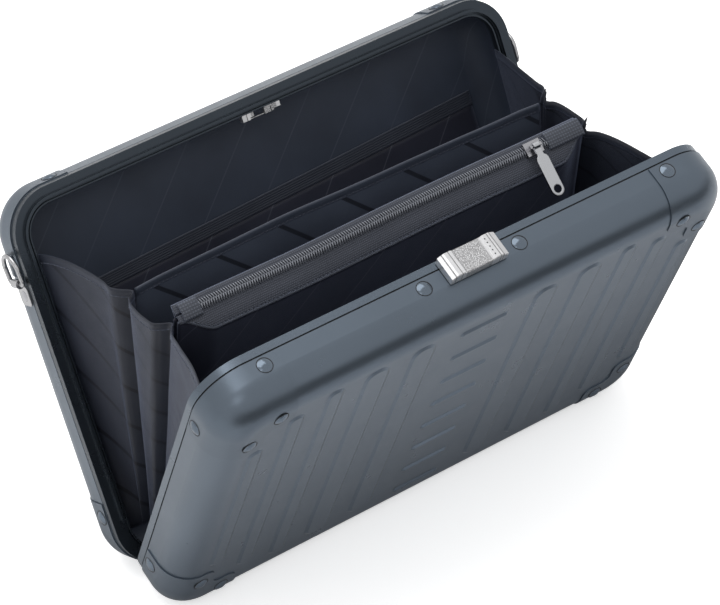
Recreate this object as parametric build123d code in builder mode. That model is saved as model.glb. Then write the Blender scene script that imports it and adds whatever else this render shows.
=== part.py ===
"""Slim aluminium attache case, standing open on its hinge side.

Two riveted sheet shells close on each other around a fabric organiser.
World frame: +X along the hinge, +Z up, the front shell towards -Y.
Each shell also has its own coordinates: x along the hinge, v up the shell
from the hinge axis, and n outwards from its rim plane.
"""

from build123d import *
import os
from math import asin, cos, radians, sin

os.makedirs("parts", exist_ok=True)

REAR = 1
FRONT = -1
SIDES = {"rear": REAR, "front": FRONT}
HANDS = {"left": -1, "right": 1}
ENDS = {"top": 1, "bottom": -1}

# ---- Case ----
CASE_WIDTH = 370.0
CASE_HEIGHT = 250.0
SHELL_DEPTH = 37.0
PLAN_RADIUS = 29.0
EDGE_RADIUS = 20.0
WALL = 1.2
HALF_OPEN = 24.75  # each shell leans this far from upright

# ---- Rim: extruded frame, seal and tongue ----
FRAME_WIDTH = 10.4
FRAME_DEPTH = 5.0
RIM_GAP = 0.05
SEAL_DEPTH = 0.9
SEAL_INSET = 0.8
SEAL_WIDTH = 0.4
SHELL_EDGE = FRAME_DEPTH + SEAL_DEPTH
FLANGE_INSET = 1.25
FLANGE_THICK = 1.5
FLANGE_END = 16.0
TONGUE_INSET = 5.8
TONGUE_THICK = 1.8
TONGUE_HEIGHT = 2.4
TONGUE_START_V = 36.0
GROOVE_CLEARANCE = 0.4
LIP_GROOVE_INSET = 8.3
LIP_GROOVE_WIDTH = 1.1
LIP_GROOVE_DEPTH = 1.6

# ---- Pressed bands and the ladder of short bars ----
BAND_HEIGHT = 1.1
BAND_TAPER = 62.0
BAND_ROUNDING = 0.45
BAND_FOOT = 27.0
BAND_TOP = 229.5
BANDS = ((44.75, 18.0, 0.0), (77.9, 18.0, 0.0), (107.4, 12.0, 0.0), (133.0, 12.0, 9.0), (157.2, 11.0, 30.0))
BAR_LENGTH = 35.0
BAR_WIDTH = 5.8
BAR_TOP = 220.0
BAR_PITCH = 27.6
BAR_COUNT = 8

# ---- Corner caps and rivets ----
CAP_THICK = 0.8
CAP_REACH = 49.0
CAP_ARM = 30.0
CAP_TIP_RADIUS = 8.0
CAP_NOTCH_RADIUS = 6.0
CAP_START = SHELL_EDGE + 0.4
RIVET_NEAR = 20.3
RIVET_FAR = 38.2
RIVET_SIDE = 38.9
RIVET_DEPTH = 12.3
RIVET_HEAD_R = 4.8
RIVET_HEAD_H = 1.6
RIVET_SHANK_R = 2.0
RIVET_SHANK = 3.2
RIVET_HOLE_R = 2.1
SMALL_HOLE_R = 1.7

# ---- Lining ----
LINING_INSET = 3.3
LINING_THICK = 1.0
LINING_START = FRAME_DEPTH + 0.2

# ---- Piano hinge ----
HINGE_LENGTH = 268.0
KNUCKLES = 20
KNUCKLE_R = 2.8
KNUCKLE_GAP = 0.3
PIN_R = 1.4
PIN_BORE_R = 1.48
LEAF_THICK = 1.0
LEAF_REACH = 14.0
LEAF_RIVET_N = 9.5
LEAF_RIVETS = 10

# ---- Latch ----
LATCH_LEFT = -19.4
LATCH_RIGHT = 21.5
LATCH_RAMP = 4.2
LATCH_PAD = 5.0
LATCH_STEP = 1.3
LATCH_NEAR = 0.9
LATCH_FAR = 17.9
LATCH_TOP = 8.0
LATCH_SHOULDER = 5.6
LATCH_SADDLE = 7.0
LATCH_SKIRT = 0.6
LATCH_WALL = 1.0
LATCH_CEILING = 5.0
LATCH_TRAVEL = 4.0
BASE_THICK = 2.4
HOOK_X = -6.5
HOOK_WIDTH = 2.7
HOOK_N = 7.0
HOOK_THICK = 2.5
HOOK_FOOT_V = 236.2
HOOK_ARM_V = 238.5
HOOK_REACH = 6.0
BARB_THICK = 1.5
BARB_END_X = -0.2
LATCH_RIVET_X = 34.6
STRIKE_TOP_V = CASE_HEIGHT - FRAME_WIDTH - 0.1
# Blocks of the strike, each as its x range, its lower edge and its n range.
STRIKE_LUG = ((-15.7, -10.2), 235.2, (0.6, 4.6))
STRIKE_STEP = ((-10.3, -7.2), 236.6, (0.6, 4.2))
STRIKE_KEEPER = ((0.8, 5.2), 235.0, (1.0, 3.6))
STRIKE_POST = ((5.8, 7.5), 235.0, (1.0, 3.6))
STRIKE_PLATE = ((7.4, 12.4), 236.2, (0.6, 4.6))
STRIKE_BRIDGE = ((5.0, 6.0), 238.4, (1.0, 3.6))
STRIKE_BAR_X = (-10.4, 1.0)
STRIKE_BAR_V = (235.2, 235.8)
STRIKE_BAR_N = (1.6, 3.0)

# ---- Strap rings ----
RING_V = 189.0
RING_N = 12.4
RING_PLATE = 13.0
RING_PLATE_THICK = 1.2
RING_BAR_V = 197.9
RING_WIRE_R = 1.5
RING_LOOP_R = 2.9
RING_LOOP_BORE_R = 1.75
RING_LOOP_WIDTH = 8.0
RING_HALF = 9.0
RING_CORNER_R = 2.5
RING_LEG = 9.5
RING_TILT = 3.0

# ---- Organiser ----
DIVIDER_HALF = 151.0
DIVIDER_PIVOT_N = 14.0
DIVIDER_LEAN = -0.72
DIVIDER_TOP = 198.0
DIVIDER_HALF_THICK = 1.5
POCKET_HALF = 150.0
POCKET_PIVOT_N = 3.0
POCKET_LEAN = -10.1
ORGANISER_PIVOT_V = 12.0
PANEL_THICK = 1.2
ZIP_HEIGHT = 198.0
ZIP_TILT = 30.0
TEETH_INNER = 0.5
TEETH_OUTER = 3.1
TEETH_START_X = -134.0
TEETH_END_X = 124.0
TAPE_HALF = 0.3
TAPE_FLAT = 5.2
TAPE_REAR = 6.4
SLIDER_X = 112.0
SLIDER_LENGTH = 12.0
SLIDER_HALF = 4.4
PULL_BAR_HEIGHT = 6.9
PULL_BAR_R = 0.8
PULL_EYE_R = 2.2
PULL_EYE_BORE_R = 1.05
PULL_LENGTH = 34.0
PULL_WIDTH = 8.5
PULL_THICK = 1.6
PULL_SLOPE = 45.0
PULL_HOLE_R = 2.7
WALL_POCKET_HALF = 162.0
WALL_POCKET_TOP = 173.4
WALL_POCKET_FOOT = 20.3
ELASTIC_HEIGHT = 7.6

LEAN = radians(HALF_OPEN)
# The hinge hangs above the floor by the reach of the rounded lower edges and their caps.
HINGE_Z = EDGE_RADIUS * (1 - cos(LEAN)) + (SHELL_DEPTH - EDGE_RADIUS) * sin(LEAN) + CAP_THICK


# ---- Places ----
def at(side, x, v, n):
    """World point of shell coordinates."""
    y = side * (v * sin(LEAN) + n * cos(LEAN))
    return Vector(x, y, HINGE_Z + v * cos(LEAN) - n * sin(LEAN))


def outward(side):
    """Unit vector out of a shell's face."""
    return Vector(0, side * cos(LEAN), -sin(LEAN))


def upward(side):
    """Unit vector up a shell from the hinge."""
    return Vector(0, side * sin(LEAN), cos(LEAN))


def rim_plane(side, n=0.0):
    """Plane parallel to the rim, with local y up the shell and local z out of it."""
    return Plane(origin=at(side, 0, 0, n), x_dir=(-side, 0, 0), z_dir=outward(side))


def profile_plane(side, x=0.0):
    """Plane across the hinge, with local x as n and local y as v."""
    return Plane(origin=at(side, x, 0, 0), x_dir=outward(side), z_dir=(side, 0, 0))


def from_end(end, distance):
    """Height v of a point at a distance from the top or bottom edge."""
    return CASE_HEIGHT - distance if end > 0 else distance


def rivet_places(side, hand, end):
    """The four rivets of one corner cap: two on the face, one on each edge."""
    near_x = hand * (CASE_WIDTH / 2 - RIVET_NEAR)
    far_x = hand * (CASE_WIDTH / 2 - RIVET_FAR)
    face = SHELL_DEPTH + CAP_THICK
    edge_v = CASE_HEIGHT + CAP_THICK if end > 0 else -CAP_THICK
    edge_x = hand * (CASE_WIDTH / 2 - RIVET_SIDE)
    flank_x = hand * (CASE_WIDTH / 2 + CAP_THICK)
    return [
        Plane(at(side, near_x, from_end(end, RIVET_FAR), face), z_dir=outward(side)),
        Plane(at(side, far_x, from_end(end, RIVET_NEAR), face), z_dir=outward(side)),
        Plane(at(side, edge_x, edge_v, RIVET_DEPTH), z_dir=upward(side) * end),
        Plane(at(side, flank_x, from_end(end, RIVET_SIDE), RIVET_DEPTH), z_dir=(hand, 0, 0)),
    ]


def all_rivet_places(side):
    """Rivets of the four caps of one shell."""
    return [p for hand in HANDS.values() for end in ENDS.values() for p in rivet_places(side, hand, end)]


def latch_rivet_places():
    """The two rivets that hold the latch through the front shell's top edge."""
    return [
        Plane(at(FRONT, hand * LATCH_RIVET_X, CASE_HEIGHT, RIVET_DEPTH), z_dir=upward(FRONT))
        for hand in HANDS.values()
    ]


def ring_screw_place(hand):
    """The screw of one strap ring's plate."""
    return Plane(at(REAR, hand * (CASE_WIDTH / 2 + RING_PLATE_THICK), RING_V, RING_N), z_dir=(hand, 0, 0))


def leaf_rivet_places(side):
    """The row of rivets that holds one hinge leaf under its shell."""
    reach = HINGE_LENGTH / 2 - HINGE_LENGTH / KNUCKLES
    pitch = 2 * reach / (LEAF_RIVETS - 1)
    return [
        Plane(at(side, pitch * i - reach, -LEAF_THICK, LEAF_RIVET_N), z_dir=upward(side) * -1)
        for i in range(LEAF_RIVETS)
    ]


def save(builder, label):
    """Label a finished sub-part and write it."""
    builder.part.label = label
    export_step(builder.part, f"parts/{label}.step")


# ---- Shared forms ----
def pan_form(side, grow, start):
    """Outer form of a shell, grown all round, from depth start to its face."""
    with BuildPart() as form:
        with BuildSketch(rim_plane(side, start)):
            with Locations((0, CASE_HEIGHT / 2)):
                RectangleRounded(CASE_WIDTH + 2 * grow, CASE_HEIGHT + 2 * grow, PLAN_RADIUS + grow)
        extrude(amount=SHELL_DEPTH + grow - start)
        face = form.faces().sort_by(Axis(at(side, 0, 0, 0), outward(side)))[-1]
        fillet(face.edges(), EDGE_RADIUS + grow)
    return form.part


def ring_form(side, inset, thick, start, depth):
    """Closed ring that follows the rim at an inset."""
    with BuildPart() as ring:
        with BuildSketch(rim_plane(side, start)):
            with Locations((0, CASE_HEIGHT / 2)):
                RectangleRounded(CASE_WIDTH - 2 * inset, CASE_HEIGHT - 2 * inset, PLAN_RADIUS - inset)
                RectangleRounded(
                    CASE_WIDTH - 2 * (inset + thick),
                    CASE_HEIGHT - 2 * (inset + thick),
                    PLAN_RADIUS - inset - thick,
                    mode=Mode.SUBTRACT,
                )
        extrude(amount=depth)
    return ring.part


def block(side, x_range, v_range, n_range):
    """Straight block in shell coordinates."""
    with BuildPart() as body:
        with BuildSketch(profile_plane(side, sum(x_range) / 2)):
            with Locations((sum(n_range) / 2, sum(v_range) / 2)):
                Rectangle(n_range[1] - n_range[0], v_range[1] - v_range[0])
        extrude(amount=(x_range[1] - x_range[0]) / 2, both=True)
    return body.part


def rivet_form(head_r, head_h, shank_r, shank):
    """Domed rivet, its head's underside at the origin and its shank down."""
    dome_r = (head_r**2 + head_h**2) / (2 * head_h)
    half = asin(head_r / dome_r) / 2
    mid = (dome_r * sin(half), head_h - dome_r * (1 - cos(half)))
    with BuildPart() as rivet:
        with BuildSketch(Plane.XZ):
            with BuildLine():
                Polyline((0, head_h), (0, -shank), (shank_r, -shank), (shank_r, 0), (head_r, 0))
                ThreePointArc((head_r, 0), mid, (0, head_h))
            make_face()
        revolve(axis=Axis.Z)
    return rivet.part


def drill(places, radius, depth):
    """Clear the shank holes of rivets in the part being built."""
    with Locations(*[place.location for place in places]):
        Cylinder(radius, 2 * depth, mode=Mode.SUBTRACT)


CAP_RIVET = rivet_form(RIVET_HEAD_R, RIVET_HEAD_H, RIVET_SHANK_R, RIVET_SHANK)

with BuildPart() as tongue:
    add(ring_form(REAR, TONGUE_INSET, TONGUE_THICK, -TONGUE_HEIGHT, TONGUE_HEIGHT + RIM_GAP))
    add(block(REAR, (-CASE_WIDTH, CASE_WIDTH), (TONGUE_START_V, 2 * CASE_HEIGHT), (-9, 9)), mode=Mode.INTERSECT)
TONGUE = tongue.part

HOOK_SLOT = block(FRONT, (HOOK_X - 0.5, BARB_END_X + 1.0), (240.0, 253.0), (HOOK_N - 0.4, HOOK_N + HOOK_THICK + 0.4))

# ---- Shells, frames, seals, linings, corner caps ----
for name, side in SIDES.items():
    outer = pan_form(side, 0, SHELL_EDGE)
    hollow = pan_form(side, -WALL, SHELL_EDGE - 1)
    places = all_rivet_places(side)
    small_places = leaf_rivet_places(side)
    if side == FRONT:
        places = places + latch_rivet_places()
    else:
        small_places = small_places + [ring_screw_place(hand) for hand in HANDS.values()]

    with BuildPart() as shell:
        add(outer)
        with BuildSketch(rim_plane(side, SHELL_DEPTH)):
            for x, width, shorter in BANDS:
                with Locations(*[(hand * x, (BAND_FOOT + BAND_TOP) / 2) for hand in HANDS.values()]):
                    RectangleRounded(width, BAND_TOP - BAND_FOOT - 2 * shorter, width * BAND_ROUNDING)
            with Locations(*[(0, BAR_TOP - BAR_PITCH * i) for i in range(BAR_COUNT)]):
                RectangleRounded(BAR_LENGTH, BAR_WIDTH, BAR_WIDTH * BAND_ROUNDING)
        extrude(amount=BAND_HEIGHT, taper=BAND_TAPER)
        add(hollow, mode=Mode.SUBTRACT)
        drill(places, RIVET_HOLE_R, 8)
        drill(small_places, SMALL_HOLE_R, 8)
        if side == FRONT:
            add(HOOK_SLOT, mode=Mode.SUBTRACT)
    save(shell, f"{name}_shell")

    with BuildPart() as frame:
        add(ring_form(side, 0, FRAME_WIDTH, RIM_GAP, FRAME_DEPTH - RIM_GAP))
        add(ring_form(side, FLANGE_INSET, FLANGE_THICK, FRAME_DEPTH, FLANGE_END - FRAME_DEPTH))
        add(ring_form(side, LIP_GROOVE_INSET, LIP_GROOVE_WIDTH, 0, LIP_GROOVE_DEPTH), mode=Mode.SUBTRACT)
        if side == FRONT:
            groove = ring_form(
                side,
                TONGUE_INSET - GROOVE_CLEARANCE,
                TONGUE_THICK + 2 * GROOVE_CLEARANCE,
                0,
                TONGUE_HEIGHT + GROOVE_CLEARANCE,
            )
            add(groove, mode=Mode.SUBTRACT)
            add(HOOK_SLOT, mode=Mode.SUBTRACT)
        else:
            add(TONGUE)
        with Locations(Plane(origin=(0, 0, HINGE_Z), z_dir=(1, 0, 0)).location):
            Cylinder(KNUCKLE_R + 0.5, HINGE_LENGTH + 4, mode=Mode.SUBTRACT)
        drill(places, RIVET_HOLE_R, 8)
        drill(small_places, SMALL_HOLE_R, 8)
    save(frame, f"{name}_frame")

    with BuildPart() as seal:
        add(ring_form(side, SEAL_INSET, SEAL_WIDTH, FRAME_DEPTH, SEAL_DEPTH))
    save(seal, f"{name}_seal")

    with BuildPart() as lining:
        add(pan_form(side, -LINING_INSET, LINING_START))
        add(pan_form(side, -LINING_INSET - LINING_THICK, LINING_START - 1), mode=Mode.SUBTRACT)
        if side == FRONT:
            add(HOOK_SLOT, mode=Mode.SUBTRACT)
    save(lining, f"{name}_lining")

# ---- Corner caps and their rivets ----
for name, side in SIDES.items():
    with BuildPart() as skin:
        add(pan_form(side, CAP_THICK, CAP_START))
        add(pan_form(side, 0, CAP_START - 1), mode=Mode.SUBTRACT)
    for end_name, end in ENDS.items():
        for hand_name, hand in HANDS.items():
            inset_corners = [(-9, -9), (CAP_REACH, -9), (CAP_REACH, CAP_ARM), (CAP_ARM, CAP_ARM), (CAP_ARM, CAP_REACH)]
            inset_corners.append((-9, CAP_REACH))
            corners = [(-side * hand * (CASE_WIDTH / 2 - a), from_end(end, b)) for a, b in inset_corners]
            with BuildPart() as cap:
                with BuildSketch(rim_plane(side, CAP_START)) as plan:
                    with BuildLine():
                        Polyline(*corners, close=True)
                    make_face()
                    tips = [plan.vertices().sort_by_distance(corners[i])[0] for i in (2, 4)]
                    fillet(tips, CAP_TIP_RADIUS)
                    fillet(plan.vertices().sort_by_distance(corners[3])[0], CAP_NOTCH_RADIUS)
                extrude(amount=SHELL_DEPTH)
                add(skin.part, mode=Mode.INTERSECT)
                drill(rivet_places(side, hand, end), RIVET_HOLE_R, 4)
            save(cap, f"{name}_cap_{end_name}_{hand_name}")

    with BuildPart() as cap_rivets:
        with Locations(*[place.location for place in all_rivet_places(side)]):
            add(CAP_RIVET)
    save(cap_rivets, f"{name}_cap_rivets")

# ---- Piano hinge along the bottom ----
LEAF_RIVET = rivet_form(2.6, 0.7, 1.2, 4.0)
KNUCKLE_PITCH = HINGE_LENGTH / KNUCKLES


def knuckle_places(numbers):
    """Centres of the numbered knuckles on the hinge axis."""
    middles = [-HINGE_LENGTH / 2 + KNUCKLE_PITCH * (i + 0.5) for i in numbers]
    return [Plane(origin=(x, 0, HINGE_Z), z_dir=(1, 0, 0)).location for x in middles]


for name, side in SIDES.items():
    turn = 0 if side == REAR else 1
    own = [i for i in range(KNUCKLES) if i % 2 == turn]
    other = [i for i in range(KNUCKLES) if i % 2 != turn]
    leaf_places = leaf_rivet_places(side)

    with BuildPart() as leaf:
        add(block(side, (-HINGE_LENGTH / 2, HINGE_LENGTH / 2), (-LEAF_THICK, 0), (0, LEAF_REACH)))
        with Locations(*knuckle_places(other)):
            Cylinder(KNUCKLE_R + KNUCKLE_GAP, KNUCKLE_PITCH + KNUCKLE_GAP, mode=Mode.SUBTRACT)
        with Locations(*knuckle_places(own)):
            Cylinder(KNUCKLE_R, KNUCKLE_PITCH - KNUCKLE_GAP)
            Cylinder(PIN_BORE_R, KNUCKLE_PITCH, mode=Mode.SUBTRACT)
        drill(leaf_places, 1.25, 3)
    save(leaf, f"hinge_leaf_{name}")

    with BuildPart() as leaf_rivets:
        with Locations(*[place.location for place in leaf_places]):
            add(LEAF_RIVET)
    save(leaf_rivets, f"hinge_rivets_{name}")

with BuildPart() as hinge_pin:
    with Locations(Plane(origin=(0, 0, HINGE_Z), z_dir=(1, 0, 0)).location):
        Cylinder(PIN_R, HINGE_LENGTH)
save(hinge_pin, "hinge_pin")

# ---- Sliding latch on the front shell, strike on the rear frame ----
with BuildPart() as latch_rivets:
    with Locations(*[place.location for place in latch_rivet_places()]):
        add(CAP_RIVET)
save(latch_rivets, "latch_rivets")

cavity_x = (LATCH_LEFT + LATCH_WALL, LATCH_RIGHT - LATCH_WALL)
base_x = (cavity_x[0] + LATCH_TRAVEL + 0.4, cavity_x[1] - 0.4)
base_n = (LATCH_NEAR + LATCH_WALL + 0.3, LATCH_FAR - LATCH_WALL - 0.3)
with BuildPart() as latch_base:
    add(block(FRONT, base_x, (CASE_HEIGHT, CASE_HEIGHT + BASE_THICK), base_n))
    add(HOOK_SLOT, mode=Mode.SUBTRACT)
save(latch_base, "latch_base")

with BuildPart() as latch_slider:
    with BuildSketch(Plane(origin=at(FRONT, 0, CASE_HEIGHT, LATCH_NEAR), x_dir=(1, 0, 0), z_dir=outward(FRONT))):
        with BuildLine():
            Polyline(
                (LATCH_LEFT, LATCH_SKIRT),
                (LATCH_LEFT, LATCH_SHOULDER),
                (LATCH_LEFT + LATCH_RAMP, LATCH_TOP),
                (LATCH_LEFT + LATCH_RAMP + LATCH_PAD, LATCH_TOP),
                (LATCH_LEFT + LATCH_RAMP + LATCH_PAD + LATCH_STEP, LATCH_SADDLE),
                (LATCH_RIGHT - LATCH_RAMP - LATCH_PAD - LATCH_STEP, LATCH_SADDLE),
                (LATCH_RIGHT - LATCH_RAMP - LATCH_PAD, LATCH_TOP),
                (LATCH_RIGHT - LATCH_RAMP, LATCH_TOP),
                (LATCH_RIGHT, LATCH_SHOULDER),
                (LATCH_RIGHT, LATCH_SKIRT),
                close=True,
            )
        make_face()
    extrude(amount=LATCH_FAR - LATCH_NEAR)
    rims = latch_slider.faces().sort_by(Axis(at(FRONT, 0, 0, 0), outward(FRONT)))
    chamfer(rims[-1].edges() + rims[0].edges(), 0.5)
    cavity = block(
        FRONT,
        cavity_x,
        (CASE_HEIGHT - 1, CASE_HEIGHT + LATCH_CEILING),
        (LATCH_NEAR + LATCH_WALL, LATCH_FAR - LATCH_WALL),
    )
    add(cavity, mode=Mode.SUBTRACT)
save(latch_slider, "latch_slider")

hook_x = (HOOK_X, HOOK_X + HOOK_WIDTH)
with BuildPart() as latch_hook:
    add(block(FRONT, hook_x, (HOOK_FOOT_V, CASE_HEIGHT + LATCH_CEILING), (HOOK_N, HOOK_N + HOOK_THICK)))
    add(block(FRONT, hook_x, (HOOK_FOOT_V, HOOK_ARM_V), (-HOOK_REACH, HOOK_N + HOOK_THICK)))
    add(block(FRONT, (HOOK_X, BARB_END_X), (HOOK_FOOT_V, HOOK_ARM_V), (-HOOK_REACH, BARB_THICK - HOOK_REACH)))
save(latch_hook, "latch_hook")

with BuildPart() as latch_spring:
    with BuildSketch(Plane(origin=at(FRONT, 8, CASE_HEIGHT + BASE_THICK + 0.3, 11.4), x_dir=(1, 0, 0), z_dir=outward(FRONT))):
        with BuildLine():
            ThreePointArc((-9, 0.1), (0, 2.1), (9, 0.1))
        trace(line_width=0.4)
    extrude(amount=4.0)
save(latch_spring, "latch_spring")

with BuildPart() as latch_strike:
    for x_range, low_v, n_range in (STRIKE_LUG, STRIKE_STEP, STRIKE_KEEPER, STRIKE_POST, STRIKE_PLATE, STRIKE_BRIDGE):
        add(block(REAR, x_range, (low_v, STRIKE_TOP_V), n_range))
    add(block(REAR, STRIKE_BAR_X, STRIKE_BAR_V, STRIKE_BAR_N))
save(latch_strike, "latch_strike")

# ---- Strap rings on the rear shell's flanks ----
RING_SCREW = rivet_form(3.6, 0.8, 1.6, 3.0)
for hand_name, hand in HANDS.items():
    flank_x = hand * CASE_WIDTH / 2
    flank = Plane(origin=at(REAR, flank_x, RING_V, RING_N), x_dir=outward(REAR), z_dir=(hand, 0, 0))
    screw_place = ring_screw_place(hand)
    bar = at(REAR, hand * (CASE_WIDTH / 2 + RING_LOOP_R + 0.05), RING_BAR_V, RING_N)
    bar_place = Plane(origin=bar, z_dir=outward(REAR)).location

    with BuildPart() as ring_plate:
        with BuildSketch(flank):
            RectangleRounded(RING_PLATE, RING_PLATE, 2.5)
        extrude(amount=RING_PLATE_THICK)
        with BuildSketch(Plane(origin=at(REAR, flank_x, RING_BAR_V - 1.2, RING_N), x_dir=flank.x_dir, z_dir=flank.z_dir)):
            Rectangle(RING_LOOP_WIDTH, 4.0)
        extrude(amount=RING_PLATE_THICK)
        with Locations(bar_place):
            Cylinder(RING_LOOP_R, RING_LOOP_WIDTH)
            Cylinder(RING_LOOP_BORE_R, RING_LOOP_WIDTH + 2, mode=Mode.SUBTRACT)
        drill([screw_place], SMALL_HOLE_R, 4)
    save(ring_plate, f"strap_ring_plate_{hand_name}")

    with BuildPart() as ring_screw:
        with Locations(screw_place.location):
            add(RING_SCREW)
    save(ring_screw, f"strap_ring_screw_{hand_name}")

    tilt = radians(RING_TILT)
    ring_up = upward(REAR) * cos(tilt) + Vector(hand * sin(tilt), 0, 0)
    ring_plane = Plane(origin=bar, x_dir=outward(REAR), z_dir=outward(REAR).cross(ring_up))
    straight = RING_HALF - RING_CORNER_R
    bend = RING_CORNER_R * (1 - cos(radians(45)))
    with BuildPart() as strap_ring:
        with BuildLine(ring_plane) as ring_path:
            Line((-straight, 0), (straight, 0))
            ThreePointArc((straight, 0), (RING_HALF - bend, bend), (RING_HALF, RING_CORNER_R))
            Line((RING_HALF, RING_CORNER_R), (RING_HALF, RING_LEG))
            ThreePointArc((RING_HALF, RING_LEG), (0, RING_LEG + RING_HALF), (-RING_HALF, RING_LEG))
            Line((-RING_HALF, RING_LEG), (-RING_HALF, RING_CORNER_R))
            ThreePointArc((-RING_HALF, RING_CORNER_R), (bend - RING_HALF, bend), (-straight, 0))
        with BuildSketch(Plane(origin=bar, z_dir=outward(REAR))):
            Circle(RING_WIRE_R)
        sweep(path=ring_path.wire())
    save(strap_ring, f"strap_ring_{hand_name}")

# ---- Organiser: base board, divider, zip pocket, wall pocket ----
inner_n = SHELL_DEPTH - LINING_INSET - LINING_THICK

with BuildPart() as organiser_base:
    add(block(REAR, (-POCKET_HALF, POCKET_HALF), (8.4, 9.6), (SHELL_EDGE, 22.0)))
save(organiser_base, "organiser_base")

with BuildPart() as wall_pocket:
    add(
        block(
            REAR,
            (-WALL_POCKET_HALF, WALL_POCKET_HALF),
            (WALL_POCKET_FOOT, WALL_POCKET_TOP),
            (inner_n - PANEL_THICK - 0.1, inner_n - 0.1),
        )
    )
save(wall_pocket, "wall_pocket")

with BuildPart() as wall_pocket_elastic:
    elastic_n = inner_n - PANEL_THICK - 0.1
    add(
        block(
            REAR,
            (-WALL_POCKET_HALF, WALL_POCKET_HALF),
            (WALL_POCKET_TOP - ELASTIC_HEIGHT, WALL_POCKET_TOP),
            (elastic_n - 1.0, elastic_n),
        )
    )
save(wall_pocket_elastic, "wall_pocket_elastic")


def panel_plane(pivot_n, lean_deg, x=0.0):
    """Plane across the hinge for a panel sewn to the base: local x towards the front, local y up the panel."""
    lean = radians(lean_deg)
    pivot = at(REAR, x, ORGANISER_PIVOT_V, pivot_n)
    return Plane(origin=pivot, x_dir=(0, -cos(lean), sin(lean)), z_dir=(-1, 0, 0))


divider_plane = panel_plane(DIVIDER_PIVOT_N, DIVIDER_LEAN)
with BuildPart() as divider:
    with BuildSketch(Plane(origin=divider_plane.origin, x_dir=(1, 0, 0), z_dir=divider_plane.x_dir)):
        with Locations((0, (DIVIDER_TOP + 2) / 2)):
            RectangleRounded(2 * DIVIDER_HALF, DIVIDER_TOP - 2, 6.0)
    extrude(amount=DIVIDER_HALF_THICK, both=True)
save(divider, "divider")

# Zip coordinates: a across the teeth towards the front, b out of the tape.
pocket_plane = panel_plane(POCKET_PIVOT_N, POCKET_LEAN)
zip_cos = cos(radians(ZIP_TILT))
zip_sin = sin(radians(ZIP_TILT))


def zip_point(a, b):
    """Point of the zip in the pocket plane's coordinates."""
    return (a * zip_cos + b * zip_sin, ZIP_HEIGHT - a * zip_sin + b * zip_cos)


def strip(points, x_low, x_high):
    """Straight strip along the hinge with a section in the pocket plane."""
    with BuildPart() as body:
        with BuildSketch(panel_plane(POCKET_PIVOT_N, POCKET_LEAN, (x_low + x_high) / 2)):
            with BuildLine():
                Polyline(*points, close=True)
            make_face()
        extrude(amount=(x_high - x_low) / 2, both=True)
    return body.part


def zip_strip(a_range, b_range, x_low, x_high):
    """Straight strip with a rectangular section in zip coordinates."""
    (a0, a1), (b0, b1) = a_range, b_range
    return strip([zip_point(a0, b0), zip_point(a1, b0), zip_point(a1, b1), zip_point(a0, b1)], x_low, x_high)


POCKET_SHOULDER = (11.4, 188.0)
POCKET_BACK_TOP = (-5.8, 193.6)
with BuildPart() as pocket_front_panel:
    x, y = POCKET_SHOULDER
    add(strip([(1.4, 3.0), (2.6, 3.0), (x + PANEL_THICK, y), (x, y)], -POCKET_HALF, POCKET_HALF))
save(pocket_front_panel, "pocket_front_panel")

with BuildPart() as pocket_rear_panel:
    x, y = POCKET_BACK_TOP
    add(strip([(-1.2, 3.0), (0.0, 3.0), (x + 0.6, y), (x - 0.6, y)], -POCKET_HALF, POCKET_HALF))
save(pocket_rear_panel, "pocket_rear_panel")

with BuildPart() as zip_tape_front:
    x, y = POCKET_SHOULDER
    tape = [zip_point(0.6, -TAPE_HALF), zip_point(TAPE_FLAT, -TAPE_HALF), (x, y + 0.1), (x + 0.9, y + 0.4)]
    tape += [zip_point(TAPE_FLAT, TAPE_HALF), zip_point(0.6, TAPE_HALF)]
    add(strip(tape, -POCKET_HALF, POCKET_HALF))
save(zip_tape_front, "zip_tape_front")

with BuildPart() as zip_tape_rear:
    x, y = POCKET_BACK_TOP
    tape = [zip_point(-0.6, TAPE_HALF), zip_point(-TAPE_REAR, TAPE_HALF), (x - 0.6, y + 0.1), (x + 0.1, y + 0.1)]
    tape += [zip_point(-TAPE_REAR + 0.8, -TAPE_HALF), zip_point(-0.6, -TAPE_HALF)]
    add(strip(tape, -POCKET_HALF, POCKET_HALF))
save(zip_tape_rear, "zip_tape_rear")

teeth_b = (TAPE_HALF, TAPE_HALF + 1.6)
for name, sign in (("front", 1), ("rear", -1)):
    with BuildPart() as teeth:
        a_range = sorted((sign * TEETH_INNER, sign * TEETH_OUTER))
        add(zip_strip(a_range, teeth_b, TEETH_START_X, TEETH_END_X))
    save(teeth, f"zip_teeth_{name}")

for hand_name, x_low, x_high in (("left", -POCKET_HALF, TEETH_START_X - 1), ("right", TEETH_END_X + 1, POCKET_HALF)):
    with BuildPart() as end_tab:
        add(zip_strip((-5.0, 5.0), (TAPE_HALF, TAPE_HALF + 0.9), x_low, x_high))
    save(end_tab, f"zip_end_tab_{hand_name}")

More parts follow.
